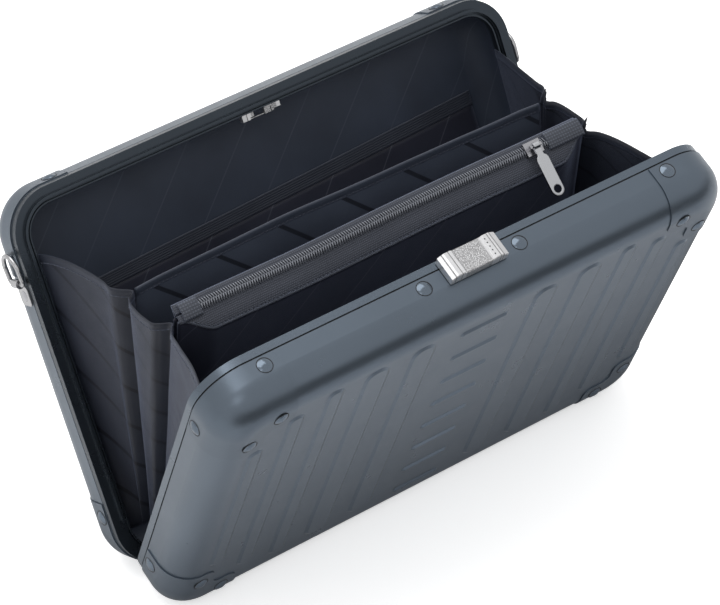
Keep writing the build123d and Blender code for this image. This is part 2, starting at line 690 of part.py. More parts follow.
# ---- Zip slider and its pull ----
slider_low = SLIDER_X - SLIDER_LENGTH / 2
slider_high = SLIDER_X + SLIDER_LENGTH / 2
plate_half = (-SLIDER_HALF, SLIDER_HALF)
with BuildPart() as zip_slider:
    add(zip_strip(plate_half, (2.3, 3.4), slider_low, slider_high))
    add(zip_strip(plate_half, (-2.0, -0.9), slider_low, slider_high))
    for edge in ((-SLIDER_HALF, -SLIDER_HALF + 0.9), (SLIDER_HALF - 0.9, SLIDER_HALF)):
        add(zip_strip(edge, (0.8, 2.4), slider_low, slider_high))
    add(zip_strip((-0.2, 0.2), (-0.95, 2.35), slider_high - 3, slider_high))
    for x in (SLIDER_X - 3.6, SLIDER_X + 3.6):
        add(zip_strip((-1.0, 1.0), (3.3, PULL_BAR_HEIGHT + PULL_BAR_R), x - 0.7, x + 0.7))
    eye = zip_point(0, PULL_BAR_HEIGHT)
    eye_world = pocket_plane.from_local_coords(Vector(eye[0], eye[1], 0)) + Vector(SLIDER_X, 0, 0)
    with Locations(Plane(origin=eye_world, z_dir=(1, 0, 0)).location):
        Cylinder(PULL_BAR_R, 7.2)
save(zip_slider, "zip_slider")

slope = radians(PULL_SLOPE)
pull_down = Vector(0, -cos(slope), -sin(slope))
pull_plane = Plane(origin=eye_world, x_dir=(1, 0, 0), z_dir=Vector(1, 0, 0).cross(pull_down))
with BuildPart() as zip_pull:
    with Locations(Plane(origin=eye_world, z_dir=(1, 0, 0)).location):
        Cylinder(PULL_EYE_R, 4.4)
    with BuildSketch(pull_plane.offset(-PULL_THICK / 2)):
        with Locations((0, 4.0)):
            Rectangle(4.4, 6.0)
        with Locations((0, (PULL_LENGTH + 6.0) / 2)):
            RectangleRounded(PULL_WIDTH, PULL_LENGTH - 6.0, PULL_WIDTH / 2 - 0.1)
        with Locations((0, PULL_LENGTH - PULL_WIDTH / 2)):
            Circle(PULL_HOLE_R, mode=Mode.SUBTRACT)
    extrude(amount=PULL_THICK)
    with BuildSketch(pull_plane.offset(PULL_THICK / 2 - 0.3)):
        with Locations((0, PULL_LENGTH / 2)):
            RectangleRounded(PULL_WIDTH - 2.6, PULL_LENGTH * 0.42, 1.4)
    extrude(amount=1.0, mode=Mode.SUBTRACT)
    with Locations(Plane(origin=eye_world, z_dir=(1, 0, 0)).location):
        Cylinder(PULL_EYE_BORE_R, 6, mode=Mode.SUBTRACT)
save(zip_pull, "zip_pull")

# ---- Side gussets: cloth walls that fold as the case closes ----
GUSSET_THICK = 0.8
GUSSET_FOOT_Z = 34.0
GUSSET_TOP_Z = 204.0
GUSSET_RIM_X = 172.0
GUSSET_GAP = 2.4


def line_y(origin, direction, z):
    """World y on a slanted line at a height."""
    return origin.Y + direction.Y * (z - origin.Z) / direction.Z


def gusset_form(hand, rear_line, front_line):
    """Cloth wall between two slanted edges, each given as x, a point, a direction and a shift in y."""
    with BuildPart() as wall:
        for z in (GUSSET_FOOT_Z, GUSSET_TOP_Z):
            points = []
            for x, origin, direction, shift in (rear_line, front_line):
                points.append((hand * x, line_y(origin, direction, z) + shift))
            (xa, ya), (xb, yb) = points
            with BuildSketch(Plane.XY.offset(z)):
                with BuildLine():
                    Polyline(
                        (xa, ya), (xb, yb), (xb + hand * GUSSET_THICK, yb), (xa + hand * GUSSET_THICK, ya), close=True
                    )
                make_face()
        loft(ruled=True)
    return wall.part


rear_edge = (GUSSET_RIM_X, at(REAR, 0, 0, 0), upward(REAR), 0.0)
front_edge = (GUSSET_RIM_X, at(FRONT, 0, 0, 0), upward(FRONT), 0.0)
divider_edge_back = (DIVIDER_HALF + 0.3, divider_plane.origin, divider_plane.y_dir, GUSSET_GAP)
divider_edge_front = (DIVIDER_HALF + 0.3, divider_plane.origin, divider_plane.y_dir, -GUSSET_GAP)
pocket_edge_back = (DIVIDER_HALF + 0.3, pocket_plane.origin, pocket_plane.y_dir, GUSSET_GAP)
pocket_edge_front = (DIVIDER_HALF + 0.3, pocket_plane.origin, pocket_plane.y_dir, -GUSSET_GAP)
gusset_edges = {
    "rear": (rear_edge, divider_edge_back),
    "middle": (divider_edge_front, pocket_edge_back),
    "front": (pocket_edge_front, front_edge),
}
for name, (first, second) in gusset_edges.items():
    for hand_name, hand in HANDS.items():
        with BuildPart() as gusset:
            add(gusset_form(hand, first, second))
        save(gusset, f"gusset_{name}_{hand_name}")

print("hinge height", round(HINGE_Z, 3))
print("divider pivot", divider_plane.origin, "pocket pivot", pocket_plane.origin)
print("pull eye", eye_world, "left ring bar", at(REAR, -(CASE_WIDTH / 2 + RING_LOOP_R + 0.05), RING_BAR_V, RING_N))
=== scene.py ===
"""Looks of the slim attache case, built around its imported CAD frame.

Lengths inside this file are millimetres in the row frame, and MM turns them into metres.
Shell coordinates: x along the hinge, v up a shell from the hinge axis, n out of its rim plane.
"""

import math
from bisect import bisect

import bpy
from mathutils import Matrix, Vector, noise


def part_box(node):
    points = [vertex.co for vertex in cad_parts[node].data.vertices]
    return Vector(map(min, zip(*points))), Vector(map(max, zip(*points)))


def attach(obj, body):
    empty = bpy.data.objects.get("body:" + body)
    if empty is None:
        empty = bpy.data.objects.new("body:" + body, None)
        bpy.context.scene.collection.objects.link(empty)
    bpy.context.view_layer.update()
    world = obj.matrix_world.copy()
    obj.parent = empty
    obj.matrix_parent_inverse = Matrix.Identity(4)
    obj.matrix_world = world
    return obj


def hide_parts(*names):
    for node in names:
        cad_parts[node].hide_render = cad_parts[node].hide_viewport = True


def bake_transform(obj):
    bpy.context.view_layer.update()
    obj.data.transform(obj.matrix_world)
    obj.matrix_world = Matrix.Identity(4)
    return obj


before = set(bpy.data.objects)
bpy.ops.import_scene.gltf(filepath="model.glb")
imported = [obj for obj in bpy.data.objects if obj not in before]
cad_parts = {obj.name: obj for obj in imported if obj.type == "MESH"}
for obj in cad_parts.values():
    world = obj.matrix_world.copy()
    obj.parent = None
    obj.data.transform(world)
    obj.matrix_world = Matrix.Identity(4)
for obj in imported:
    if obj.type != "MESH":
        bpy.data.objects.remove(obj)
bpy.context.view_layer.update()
MM = 0.001
METRE = 1000.0  # turns a shader's metres into millimetres

# ---- Sizes shared with the CAD ----
pin_low, pin_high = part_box("hinge_pin")
HINGE_Z = (pin_low.z + pin_high.z) / 2 / MM
REAR, FRONT = 1, -1
LEAN = math.radians(24.75)
CASE_WIDTH, CASE_HEIGHT, SHELL_DEPTH = 370.0, 250.0, 37.0
LINING_INSET, LINING_PLAN_R, LINING_EDGE_R = 3.8, 25.2, 16.2
LINING_START = 5.5
DIVIDER_HALF, DIVIDER_TOP = 151.0, 198.0
POCKET_HALF = 150.0
ZIP_HEIGHT, ZIP_TILT = 198.0, math.radians(30)
TEETH_LOW, TEETH_HIGH = -134.0, 124.0
POCKET_SHOULDER = (12.0, 188.0)  # depth and height of the front panel's top edge
POCKET_BACK_TOP = (-5.8, 193.6)
ORGANISER_V = 12.0  # where the organiser's panels are sewn, up the rear shell
SLIDER_X = 112.0


# ---- Camera ----
CAMERA_PLACE = Vector((-0.918854, -1.392333, 1.437594))
CAMERA_AHEAD = Vector((0.43297061, 0.65834731, -0.61572337)).normalized()
CAMERA_ROLL_RIGHT = Vector((0.81231654, -0.58106313, -0.0500747))
CAMERA_LENS = 170.8


def make_camera():
    right = (CAMERA_ROLL_RIGHT - CAMERA_AHEAD * CAMERA_ROLL_RIGHT.dot(CAMERA_AHEAD)).normalized()
    up = right.cross(CAMERA_AHEAD)
    data = bpy.data.cameras.new("camera")
    data.lens = CAMERA_LENS
    data.sensor_width = 36.0
    data.clip_end = 50.0
    camera = bpy.data.objects.new("camera", data)
    camera.matrix_world = Matrix(
        (
            (right.x, up.x, -CAMERA_AHEAD.x, CAMERA_PLACE.x),
            (right.y, up.y, -CAMERA_AHEAD.y, CAMERA_PLACE.y),
            (right.z, up.z, -CAMERA_AHEAD.z, CAMERA_PLACE.z),
            (0, 0, 0, 1),
        )
    )
    bpy.context.scene.collection.objects.link(camera)
    bpy.context.scene.camera = camera


make_camera()


# ---- Places ----
def at(side, x, v, n):
    """Point of shell coordinates."""
    y = side * (v * math.sin(LEAN) + n * math.cos(LEAN))
    return Vector((x, y, HINGE_Z + v * math.cos(LEAN) - n * math.sin(LEAN)))


class Panel:
    """Plane of an organiser panel: r up from its sewn edge, w towards the front."""

    def __init__(self, pivot_n, lean_deg):
        lean = math.radians(lean_deg)
        self.origin = at(REAR, 0, ORGANISER_V, pivot_n)
        self.up = Vector((0, math.sin(lean), math.cos(lean)))
        self.front = Vector((0, -math.cos(lean), math.sin(lean)))

    def point(self, x, r, w):
        return self.origin + Vector((x, 0, 0)) + self.up * r + self.front * w


DIVIDER = Panel(14.0, -0.72)
POCKET = Panel(3.0, -10.1)


def zip_rw(a, b):
    """Height and depth in the pocket panel of a point across (a) and above (b) the zip."""
    r = ZIP_HEIGHT - a * math.sin(ZIP_TILT) + b * math.cos(ZIP_TILT)
    return r, a * math.cos(ZIP_TILT) + b * math.sin(ZIP_TILT)


def zip_wave(x):
    """The zip's slow rise and dip along its length, flat where the slider stops at either end."""
    t = (x + POCKET_HALF) / (SLIDER_X + POCKET_HALF)
    flat = max(0.0, min(1.0, (1 - t) * 8, (t - 0.1) * 4))
    return -1.1 * math.sin(2 * math.pi * t) * flat


def zip_point(x, a, b):
    r, w = zip_rw(a, b)
    return POCKET.point(x, r + zip_wave(x), w)


# ---- Meshes ----
def lerp(a, b, t):
    return a + (b - a) * t


def smooth(t):
    t = max(0.0, min(1.0, t))
    return t * t * (3 - 2 * t)


def ripple(*place, seed=0.0):
    """Smooth noise from -1 to 1."""
    return noise.noise(Vector((place + (seed, seed * 1.7, 0.0))[:3]) + Vector((seed * 3.1, seed, -seed)))


def add_object(name, mesh, material, thick=0.0):
    obj = bpy.data.objects.new(name, mesh)
    bpy.context.scene.collection.objects.link(obj)
    obj.data.materials.append(material)
    obj.data.polygons.foreach_set("use_smooth", [True] * len(obj.data.polygons))
    if thick:
        solid = obj.modifiers.new("thickness", "SOLIDIFY")
        solid.thickness = thick * MM
        solid.offset = 0.0
    return obj


def sheet_object(name, rows, material, thick, closed=False, uvs=None):
    """Sheet of quads through rows of points, with a cloth map in metres."""
    count = len(rows[0])
    points = [p * MM for row in rows for p in row]
    steps = count if closed else count - 1
    faces = []
    for i in range(len(rows) - 1):
        for j in range(steps):
            k = (j + 1) % count
            faces.append((i * count + j, i * count + k, (i + 1) * count + k, (i + 1) * count + j))
    mesh = bpy.data.meshes.new(name)
    mesh.from_pydata(points, [], faces)
    layer = mesh.uv_layers.new(name="cloth")
    if uvs is None:
        uvs = measure_rows(rows)
    flat = [uv for row in uvs for uv in row]
    for loop in mesh.loops:
        u, v = flat[loop.vertex_index]
        layer.data[loop.index].uv = (u * MM, v * MM)
    return add_object(name, mesh, material, thick)


def measure_rows(rows):
    """Lengths along each row and each column, in millimetres."""
    uvs = []
    for i, row in enumerate(rows):
        along = 0.0
        line = []
        for j, p in enumerate(row):
            if j:
                along += (p - row[j - 1]).length
            up = (p - rows[i - 1][j]).length + uvs[i - 1][j][1] if i else 0.0
            line.append((along, up))
        uvs.append(line)
    return uvs


def span(low, high, count):
    return [lerp(low, high, i / (count - 1)) for i in range(count)]


def tube_object(name, lines, radius, material, sides=8, closed_ends=True, cloth=False):
    """Round tubes along lists of points, joined in one mesh, with an empty map for a cloth material."""
    mesh = bpy.data.meshes.new(name)
    points, faces = [], []
    for line in lines:
        base = len(points)
        for i, p in enumerate(line):
            ahead = (line[min(i + 1, len(line) - 1)] - line[max(i - 1, 0)]).normalized()
            helper = Vector((0, 0, 1)) if abs(ahead.z) < 0.9 else Vector((1, 0, 0))
            across = ahead.cross(helper).normalized()
            other = ahead.cross(across)
            for k in range(sides):
                turn = 2 * math.pi * k / sides
                points.append((p + (across * math.cos(turn) + other * math.sin(turn)) * radius) * MM)
        for i in range(len(line) - 1):
            for k in range(sides):
                a, b = base + i * sides + k, base + i * sides + (k + 1) % sides
                faces.append((a, b, b + sides, a + sides))
        if closed_ends:
            faces.append(tuple(base + k for k in reversed(range(sides))))
            faces.append(tuple(base + (len(line) - 1) * sides + k for k in range(sides)))
    mesh.from_pydata(points, [], faces)
    if cloth:
        mesh.uv_layers.new(name="cloth")
    return add_object(name, mesh, material)


def stitch_row(name, line, pitch=3.0, length=2.0, radius=0.2):
    """A row of short sewn stitches along a line of points."""
    travelled = [0.0]
    for a, b in zip(line, line[1:]):
        travelled.append(travelled[-1] + (b - a).length)

    def along(distance):
        i = max(0, min(bisect(travelled, distance) - 1, len(line) - 2))
        return line[i].lerp(line[i + 1], (distance - travelled[i]) / (travelled[i + 1] - travelled[i]))

    lines = []
    start = 0.6
    while start + length < travelled[-1]:
        lines.append([along(start + length * k / 2) for k in range(3)])
        start += pitch
    return tube_object(name, lines, radius, thread_paint, sides=5, cloth=True)


# ---- Materials ----
class Paint:
    """A procedural material under construction."""

    def __init__(self, name, color, roughness, metallic=0.0):
        self.material = bpy.data.materials.new(name)
        self.material.use_nodes = True
        self.tree = self.material.node_tree
        self.shader = self.tree.nodes["Principled BSDF"]
        self.shader.inputs["Base Color"].default_value = (*color, 1)
        self.shader.inputs["Roughness"].default_value = roughness
        self.shader.inputs["Metallic"].default_value = metallic
        self.normal = None

    def node(self, kind, links=(), **values):
        made = self.tree.nodes.new(kind)
        for key, value in values.items():
            setattr(made, key, value)
        for socket, source in links:
            self.tree.links.new(source, made.inputs[socket])
        return made

    def place(self, uv=False):
        if uv:
            return self.node("ShaderNodeUVMap", uv_map="cloth").outputs["UV"]
        return self.node("ShaderNodeTexCoord").outputs["Object"]

    def noise(self, place, scale, detail=2.0, roughness=0.5):
        made = self.node("ShaderNodeTexNoise", [("Vector", place)])
        made.inputs["Scale"].default_value = scale
        made.inputs["Detail"].default_value = detail
        made.inputs["Roughness"].default_value = roughness
        return made.outputs["Fac"]

    def math(self, operation, a, b=None):
        made = self.node("ShaderNodeMath", operation=operation)
        for socket, value in ((0, a), (1, b)):
            if value is None:
                continue
            if isinstance(value, (int, float)):
                made.inputs[socket].default_value = value
            else:
                self.tree.links.new(value, made.inputs[socket])
        return made.outputs[0]

    def remap(self, value, low, high, to_low, to_high):
        made = self.node("ShaderNodeMapRange", [("Value", value)])
        for key, number in zip(("From Min", "From Max", "To Min", "To Max"), (low, high, to_low, to_high)):
            made.inputs[key].default_value = number
        return made.outputs["Result"]

    def away(self, value, centre):
        """Distance of a value from a centre."""
        return self.math("ABSOLUTE", self.math("ADD", value, -centre))

    def mix(self, factor, color_a, color_b):
        made = self.node("ShaderNodeMix", data_type="RGBA")
        for socket, value in ((0, factor), (6, color_a), (7, color_b)):
            if isinstance(value, tuple):
                made.inputs[socket].default_value = (*value, 1)
            else:
                self.tree.links.new(value, made.inputs[socket])
        return made.outputs[2]

    def color(self, source):
        self.tree.links.new(source, self.shader.inputs["Base Color"])

    def rough(self, source):
        self.tree.links.new(source, self.shader.inputs["Roughness"])

    def bevel(self, radius):
        """Rounds the shading of hard edges."""
        made = self.node("ShaderNodeBevel", samples=4)
        made.inputs["Radius"].default_value = radius * MM
        self.normal = made.outputs["Normal"]
        self.tree.links.new(self.normal, self.shader.inputs["Normal"])

    def bump(self, height, depth, strength=1.0):
        made = self.node("ShaderNodeBump", [("Height", height)])
        made.inputs["Distance"].default_value = depth * MM
        made.inputs["Strength"].default_value = strength
        if self.normal is not None:
            self.tree.links.new(self.normal, made.inputs["Normal"])
        self.normal = made.outputs["Normal"]
        self.tree.links.new(self.normal, self.shader.inputs["Normal"])


def scaled(color, k):
    return tuple(c * k for c in color)


def metal_paint(name, color, roughness, metallic, bevel=0.35, grain=0.02, spread=0.08):
    """Satin anodised or coated metal with a fine grain and faint handling marks."""
    paint = Paint(name, color, roughness, metallic)
    place = paint.place()
    clouds = paint.noise(place, 14, 3)
    fine = paint.noise(place, 2600, 2)
    tone = paint.remap(clouds, 0.3, 0.7, 0.0, 1.0)
    paint.color(paint.mix(tone, scaled(color, 1 - spread), scaled(color, 1 + spread)))
    smudge = paint.noise(place, 38, 4, 0.65)
    paint.rough(paint.remap(smudge, 0.3, 0.75, roughness - 0.03, roughness + 0.04))
    if bevel:
        paint.bevel(bevel)
    paint.bump(fine, grain)
    return paint.material


# Marks of the latches, along the hinge (x) and out of the rim plane (n)
SADDLE_X, SADDLE_HALF = 0.2, (9.2, 9.7)
PEBBLE_SCALE = 1150.0
GROOVES_X, GROOVE_HALF = (-16.8, -12.4, 15.4, 17.3), (0.14, 0.36)
DOTS_X, DOTS_START_N, DOTS_PITCH, DOT_RADIUS = 12.7, 4.0, 2.75, (0.35, 0.62)
DOTS_N, DOTS_HALF = 9.5, (6.6, 6.7)


def latch_metal(name, color):
    """Bright plated latch: pebbled between two end pads, each with two scored lines, and one row of dots,
    their hollows painted dark as painted shade.
    """
    paint = Paint(name, color, 0.3, 0.9)
    place = paint.place()
    parts = paint.node("ShaderNodeSeparateXYZ", [("Vector", place)])
    x = paint.math("MULTIPLY", parts.outputs["X"], METRE)
    y_part = paint.math("MULTIPLY", parts.outputs["Y"], -METRE * math.cos(LEAN))
    z_part = paint.math("MULTIPLY", parts.outputs["Z"], -METRE * math.sin(LEAN))
    n = paint.math("ADD", paint.math("ADD", y_part, z_part), HINGE_Z * math.sin(LEAN))
    saddle = paint.remap(paint.away(x, SADDLE_X), *SADDLE_HALF, 1.0, 0.0)
    pebbles = paint.node("ShaderNodeTexVoronoi", [("Vector", place)], feature="F1")
    pebbles.inputs["Scale"].default_value = PEBBLE_SCALE
    pebble = paint.math("MULTIPLY", paint.remap(pebbles.outputs["Distance"], 0.0, 0.6, 1.0, 0.0), saddle)
    grooves = None
    for groove_x in GROOVES_X:
        groove = paint.remap(paint.away(x, groove_x), *GROOVE_HALF, 1.0, 0.0)
        grooves = groove if grooves is None else paint.math("MAXIMUM", grooves, groove)
    turns = paint.math("DIVIDE", paint.math("ADD", n, -DOTS_START_N + DOTS_PITCH / 2), DOTS_PITCH)
    along = paint.math("MULTIPLY", paint.math("ADD", paint.math("FRACT", turns), -0.5), DOTS_PITCH)
    across = paint.math("ADD", x, -DOTS_X)
    squares = paint.math("ADD", paint.math("POWER", along, 2.0), paint.math("POWER", across, 2.0))
    far = paint.math("SQRT", squares)
    inside = paint.remap(paint.away(n, DOTS_N), *DOTS_HALF, 1.0, 0.0)
    dots = paint.math("MULTIPLY", paint.remap(far, *DOT_RADIUS, 1.0, 0.0), inside)
    # Painted shade: the scored lines, the dots and the hollows between the pebbles are painted dark
    marks = paint.math("MAXIMUM", paint.math("MULTIPLY", grooves, 0.75), dots)
    between = paint.math("MULTIPLY", paint.math("SUBTRACT", 1.0, pebble), paint.math("MULTIPLY", saddle, 0.5))
    dark = paint.math("MAXIMUM", marks, between)
    paint.color(paint.mix(dark, color, scaled(color, 0.06)))
    paint.rough(paint.remap(paint.noise(place, 200, 3), 0.3, 0.7, 0.26, 0.4))
    paint.bevel(0.25)
    paint.bump(paint.math("SUBTRACT", pebble, marks), 0.18)
    return paint.material


WAVE_SCALE = 0.31416  # a Blender wave texture of this scale repeats once a metre


def weave_height(paint, place, period):
    """Height of a plain weave whose thread pairs repeat every period."""
    waves = []
    for direction in ("X", "Y"):
        wave = paint.node("ShaderNodeTexWave", [("Vector", place)], bands_direction=direction)
        wave.inputs["Scale"].default_value = WAVE_SCALE / (period * MM)
        waves.append(wave.outputs["Fac"])
    return paint.math("MULTIPLY", waves[0], waves[1])


def stripe_factor(paint, place, pitch, width, slope, shift=0.0):
    """1 inside slanted stripes of the cloth map, 0 outside."""
    parts = paint.node("ShaderNodeSeparateXYZ", [("Vector", place)])
    across = paint.math("ADD", parts.outputs["X"], paint.math("MULTIPLY", parts.outputs["Y"], slope))
    turns = paint.math("ADD", paint.math("DIVIDE", across, pitch * MM), shift)
    inside = paint.math("PINGPONG", turns, 0.5)
    half = width / pitch / 2
    return paint.remap(inside, half * 0.8, half * 1.2, 1.0, 0.0)


CLOTH_SPREAD = 0.16


def cloth_paint(name, color, roughness, sheen, weave=0.5, depth=0.06, stripe=None, gaps=0.22):
    """Satin woven nylon, with optional slanted stripes (pitch, width, slope, shift, colour)."""
    paint = Paint(name, color, roughness)
    paint.shader.inputs["Sheen Weight"].default_value = sheen
    paint.shader.inputs["Sheen Roughness"].default_value = 0.45
    paint.shader.inputs["Sheen Tint"].default_value = (0.6, 0.7, 1.0, 1)
    paint.shader.inputs["Specular IOR Level"].default_value = 0.3
    place = paint.place(uv=True)
    clouds = paint.noise(place, 22, 3)
    tone = paint.remap(clouds, 0.3, 0.7, 0.0, 1.0)
    base = paint.mix(tone, scaled(color, 1 - CLOTH_SPREAD), scaled(color, 1 + CLOTH_SPREAD))
    if stripe:
        pitch, width, slope, shift, stripe_color = stripe
        inside = stripe_factor(paint, place, pitch, width, slope, shift)
        base = paint.mix(inside, base, stripe_color)
    threads = weave_height(paint, place, weave)
    # Painted shade: the hollows between the threads are painted darker, most on the tape and webbing
    base = paint.mix(paint.remap(threads, 0.0, 1.0, gaps, 0.0), base, scaled(color, 0.35))
    paint.color(base)
    paint.rough(paint.remap(paint.noise(place, 60, 2), 0.3, 0.7, roughness - 0.06, roughness + 0.06))
    paint.bump(threads, depth, 0.7)
    return paint.material


SLATE = (0.112, 0.137, 0.168)
shell_paint = metal_paint("shell_paint", SLATE, 0.3, 0.85, bevel=0.5, grain=0.006, spread=0.04)
frame_paint = metal_paint("frame_paint", SLATE, 0.25, 0.85, bevel=0.3, spread=0.05)
# The rear frame's paint is the frame's slate darkened: painted shade, for the frame lying in shade
rear_frame_shaded_paint = metal_paint("rear_frame_shaded_paint", scaled(SLATE, 0.4), 0.28, 0.85, bevel=0.3, spread=0.05)
cap_paint = metal_paint("cap_paint", scaled(SLATE, 0.98), 0.33, 0.85, bevel=0.1, spread=0.05)
rivet_paint = metal_paint("rivet_paint", scaled(SLATE, 1.15), 0.16, 0.88, bevel=0.0)
nickel_paint = metal_paint("nickel_paint", (0.42, 0.42, 0.43), 0.22, 1.0, bevel=0.25, grain=0.01)
dark_nickel_paint = metal_paint("dark_nickel_paint", (0.4, 0.4, 0.42), 0.25, 1.0, bevel=0.2, grain=0.01)
pull_paint = metal_paint("pull_paint", (0.5, 0.51, 0.53), 0.2, 1.0, bevel=0.7, grain=0.01)
steel_paint = metal_paint("steel_paint", (0.42, 0.43, 0.45), 0.34, 1.0, bevel=0.2, grain=0.015)
# Black rubber for the seals, also the colour of the dark rings of painted shadow round the rivets
rubber_and_shadow_paint = metal_paint("rubber_and_shadow_paint", (0.006, 0.006, 0.007), 0.62, 0.0, bevel=0.0, grain=0.03)
plastic_paint = metal_paint("plastic_paint", (0.012, 0.012, 0.014), 0.5, 0.0, bevel=0.2, grain=0.03)

latch_paint = latch_metal("latch_paint", (0.64, 0.64, 0.65))

LINING = (0.038, 0.048, 0.072)
lining_cloth = cloth_paint(
    "lining_cloth", LINING, 0.5, 0.35, stripe=(47.0, 1.3, -1.0, 0.13, (0.058, 0.069, 0.096))
)
divider_cloth = cloth_paint(
    "divider_cloth", (0.06, 0.072, 0.1), 0.5, 0.3, stripe=(46.0, 4.0, 1.07, 0.32, (0.005, 0.0052, 0.008))
)
pocket_cloth = cloth_paint(
    "pocket_cloth", (0.022, 0.0235, 0.038), 0.52, 0.3, stripe=(46.0, 1.1, -0.9, 0.4, (0.06, 0.063, 0.085))
)
gusset_cloth = cloth_paint(
    "gusset_cloth", (0.0155, 0.018, 0.027), 0.5, 0.18, stripe=(40.0, 3.8, 1.0, 0.2, (0.003, 0.0034, 0.006))
)
hem_cloth = cloth_paint("hem_cloth", (0.0165, 0.0195, 0.029), 0.5, 0.18, weave=0.6)
binding_cloth = cloth_paint("binding_cloth", (0.036, 0.044, 0.064), 0.5, 0.15, weave=0.6)
elastic_cloth = cloth_paint("elastic_cloth", (0.03, 0.035, 0.05), 0.6, 0.2, weave=0.7)
tape_cloth = cloth_paint("tape_cloth", (0.078, 0.086, 0.11), 0.6, 0.35, weave=1.3, depth=0.3, gaps=0.8)
webbing_cloth = cloth_paint("webbing_cloth", (0.09, 0.1, 0.125), 0.6, 0.3, weave=1.9, depth=0.35, gaps=0.8)
thread_paint = cloth_paint("thread_paint", (0.085, 0.093, 0.115), 0.55, 0.3, weave=0.4)
coil_paint = metal_paint("coil_paint", (0.17, 0.18, 0.205), 0.28, 0.3, bevel=0.0, grain=0.005)


def finish_nodes():
    """Gives each CAD node that stays the material of the first rule that fits its name."""
    rules = (
        ("_shell", shell_paint), ("rear_frame", rear_frame_shaded_paint), ("_frame", frame_paint),
        ("_seal", rubber_and_shadow_paint), ("_cap_rivets", rivet_paint), ("_cap_", cap_paint),
        ("latch_rivets", rivet_paint), ("latch_spring", steel_paint), ("latch_base", plastic_paint),
        ("latch_", latch_paint), ("hinge_", steel_paint), ("strap_ring_screw", dark_nickel_paint),
        ("strap_ring", nickel_paint), ("organiser_base", plastic_paint), ("zip_slider", dark_nickel_paint),
        ("zip_pull", pull_paint),
    )
    for name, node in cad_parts.items():
        for part, material in rules:
            if part in name:
                node.data.materials.clear()
                node.data.materials.append(material)
                break


finish_nodes()


# ---- Linings ----
def outline(half_x, half_v, radius, per_corner=14, per_x=46, per_v=30):
    """Rounded rectangle about the origin as (x, v, outward x, outward v), counter-clockwise."""
    points = []
    cx, cv = half_x - radius, half_v - radius
    corners = ((cx, cv, 0), (-cx, cv, 90), (-cx, -cv, 180), (cx, -cv, 270))
    for index, (x, v, start) in enumerate(corners):
        for i in range(per_corner + 1):
            turn = math.radians(start + 90 * i / per_corner)
            out_x, out_v = math.cos(turn), math.sin(turn)
            points.append((x + radius * out_x, v + radius * out_v, out_x, out_v))
        next_x, next_v = corners[(index + 1) % 4][:2]
        count = per_x if index % 2 == 0 else per_v
        for i in range(1, count):
            t = i / count
            side_x, side_v = lerp(x, next_x, t), lerp(v, next_v, t)
            points.append((side_x + radius * out_x, side_v + radius * out_v, out_x, out_v))
    return points


def make_lining(side, name, body, seed):
    """Cloth glued inside a shell: flat on its face, easing up round the edge to the frame."""
    half = "rear" if side == REAR else "front"
    half_x = CASE_WIDTH / 2 - LINING_INSET
    half_v = CASE_HEIGHT / 2 - LINING_INSET
    face_n = SHELL_DEPTH - LINING_INSET
    bend_n = face_n - LINING_EDGE_R
    rings = []
    for n in (LINING_START, 8.5, 12.0, bend_n):
        rings.append((0.0, n, bend_n - n + LINING_EDGE_R * math.pi / 2))
    for i in range(1, 8):
        turn = math.radians(90 * i / 7)
        inset, n = LINING_EDGE_R * (1 - math.cos(turn)), bend_n + LINING_EDGE_R * math.sin(turn)
        rings.append((inset, n, LINING_EDGE_R * (math.pi / 2 - turn)))
    for inset in (22, 30, 40, 52, 66, 82, 100, 114, half_v - 0.6):
        rings.append((float(inset), face_n, LINING_EDGE_R - inset))
    rows, uvs = [], []
    for inset, n, unfolded in rings:
        radius = max(LINING_PLAN_R - inset, 0.5)
        row, uv = [], []
        for x, v, out_x, out_v in outline(half_x - inset, half_v - inset, radius):
            depth = smooth((n - LINING_START) / 6) * smooth((30 - inset) / 30)
            corner = smooth((abs(out_x * out_v) * 2 - 0.1) * 1.4)
            along = math.atan2(v / half_v, x / half_x)
            pucker = ripple(along * 9, n / 40, seed=seed) * (0.5 + 1.3 * corner)
            sag = 0.5 * ripple(x / 60, v / 60, seed=seed + 5)
            shift = pucker * depth
            lift = min(n - 0.6 * sag * smooth(inset / 30) - 0.4 * abs(shift), face_n + 0.2)
            place_x = x - out_x * (shift * 0.7 + 0.3 * depth)
            row.append(at(side, place_x, CASE_HEIGHT / 2 + v - out_v * shift * 0.7, lift))
            flat = unfolded if unfolded > 0 else 0.0
            uv.append((x + out_x * flat, v * side + out_v * flat * side))
        rows.append(row)
        uvs.append(uv)
    lining = sheet_object(name, rows, lining_cloth, thick=0.5, closed=True, uvs=uvs)
    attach(lining, body)
    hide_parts(f"{half}_lining")


# Rivets of the corner caps: how far in from the sides and ends they sit, and how deep on the rims
RIVET_NEAR, RIVET_FAR, RIVET_SIDE, RIVET_N = 20.3, 38.2, 38.9, 12.3
CAP_RISE = 0.85  # the caps' outside above the shell
LATCH_RIVET_X, LATCH_PLATE_RISE = 34.6, 0.05
# Radius and thickness of the dark rings of painted shadow round the rivet heads
SHADOW_RING_RADIUS, SHADOW_RING_THICK = 4.85, 0.24


